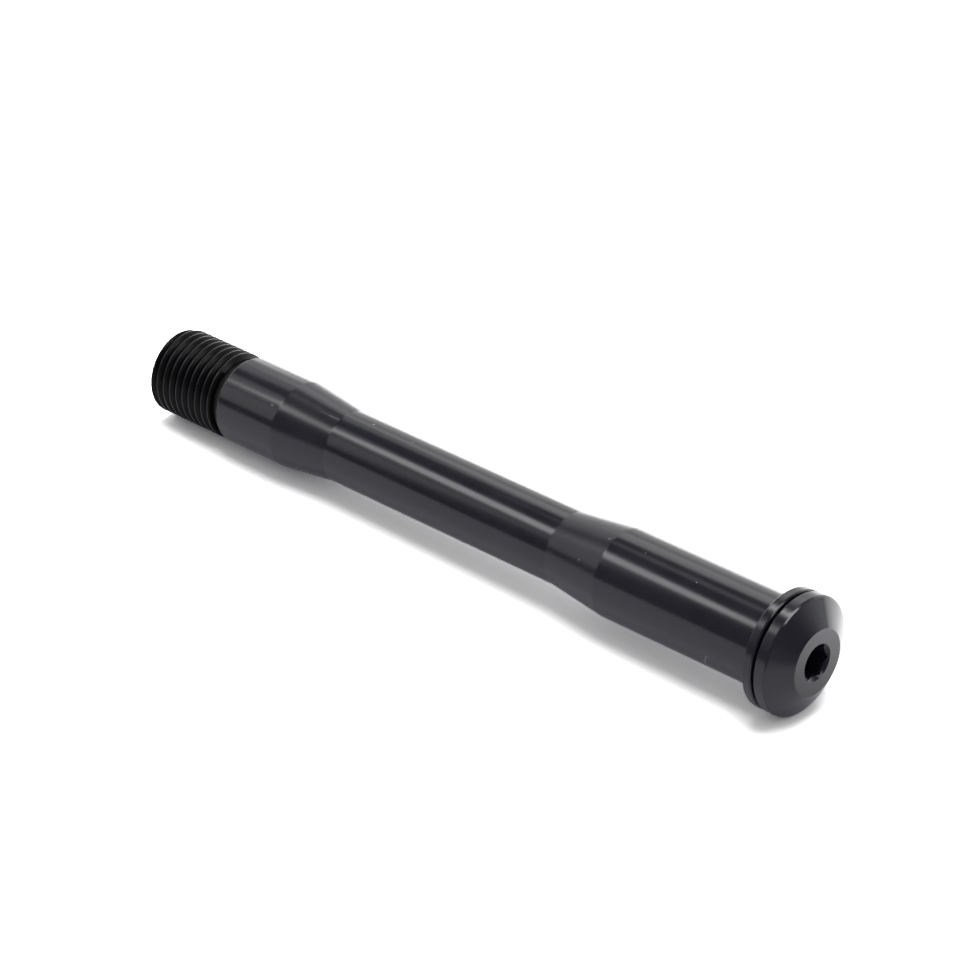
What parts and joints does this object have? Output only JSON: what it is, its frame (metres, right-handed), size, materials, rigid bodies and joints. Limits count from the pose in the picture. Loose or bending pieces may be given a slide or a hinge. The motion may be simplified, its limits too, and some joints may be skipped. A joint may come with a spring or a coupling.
{
  "type": "bicycle thru axle",
  "caption": "Waisted black axle that clamps a wheel hub in a bicycle fork: right-hand thread at one end, conical head with a hexagon socket and a loose bearing ring at the other.",
  "frame": {"origin": "centre of the thread end's face, on the axle's line: the axle stands on that end", "axes": "+Z along the axle from the thread to the head; X and Y are square to it"},
  "size_m": [0.0196, 0.0196, 0.1366],
  "materials": {
    "axle": "satin black anodised",
    "ring": "satin black anodised"
  },
  "bodies": {
    "axle": {"axle": "axle"},
    "ring": {"ring": "ring"}
  },
  "joints": [
    {"name": "ring_spin", "type": "hinge", "parent": "axle", "child": "ring", "pos_m": [0, 0, 0.13082], "axis": [0, 0, 1], "continuous": true}
  ]
}
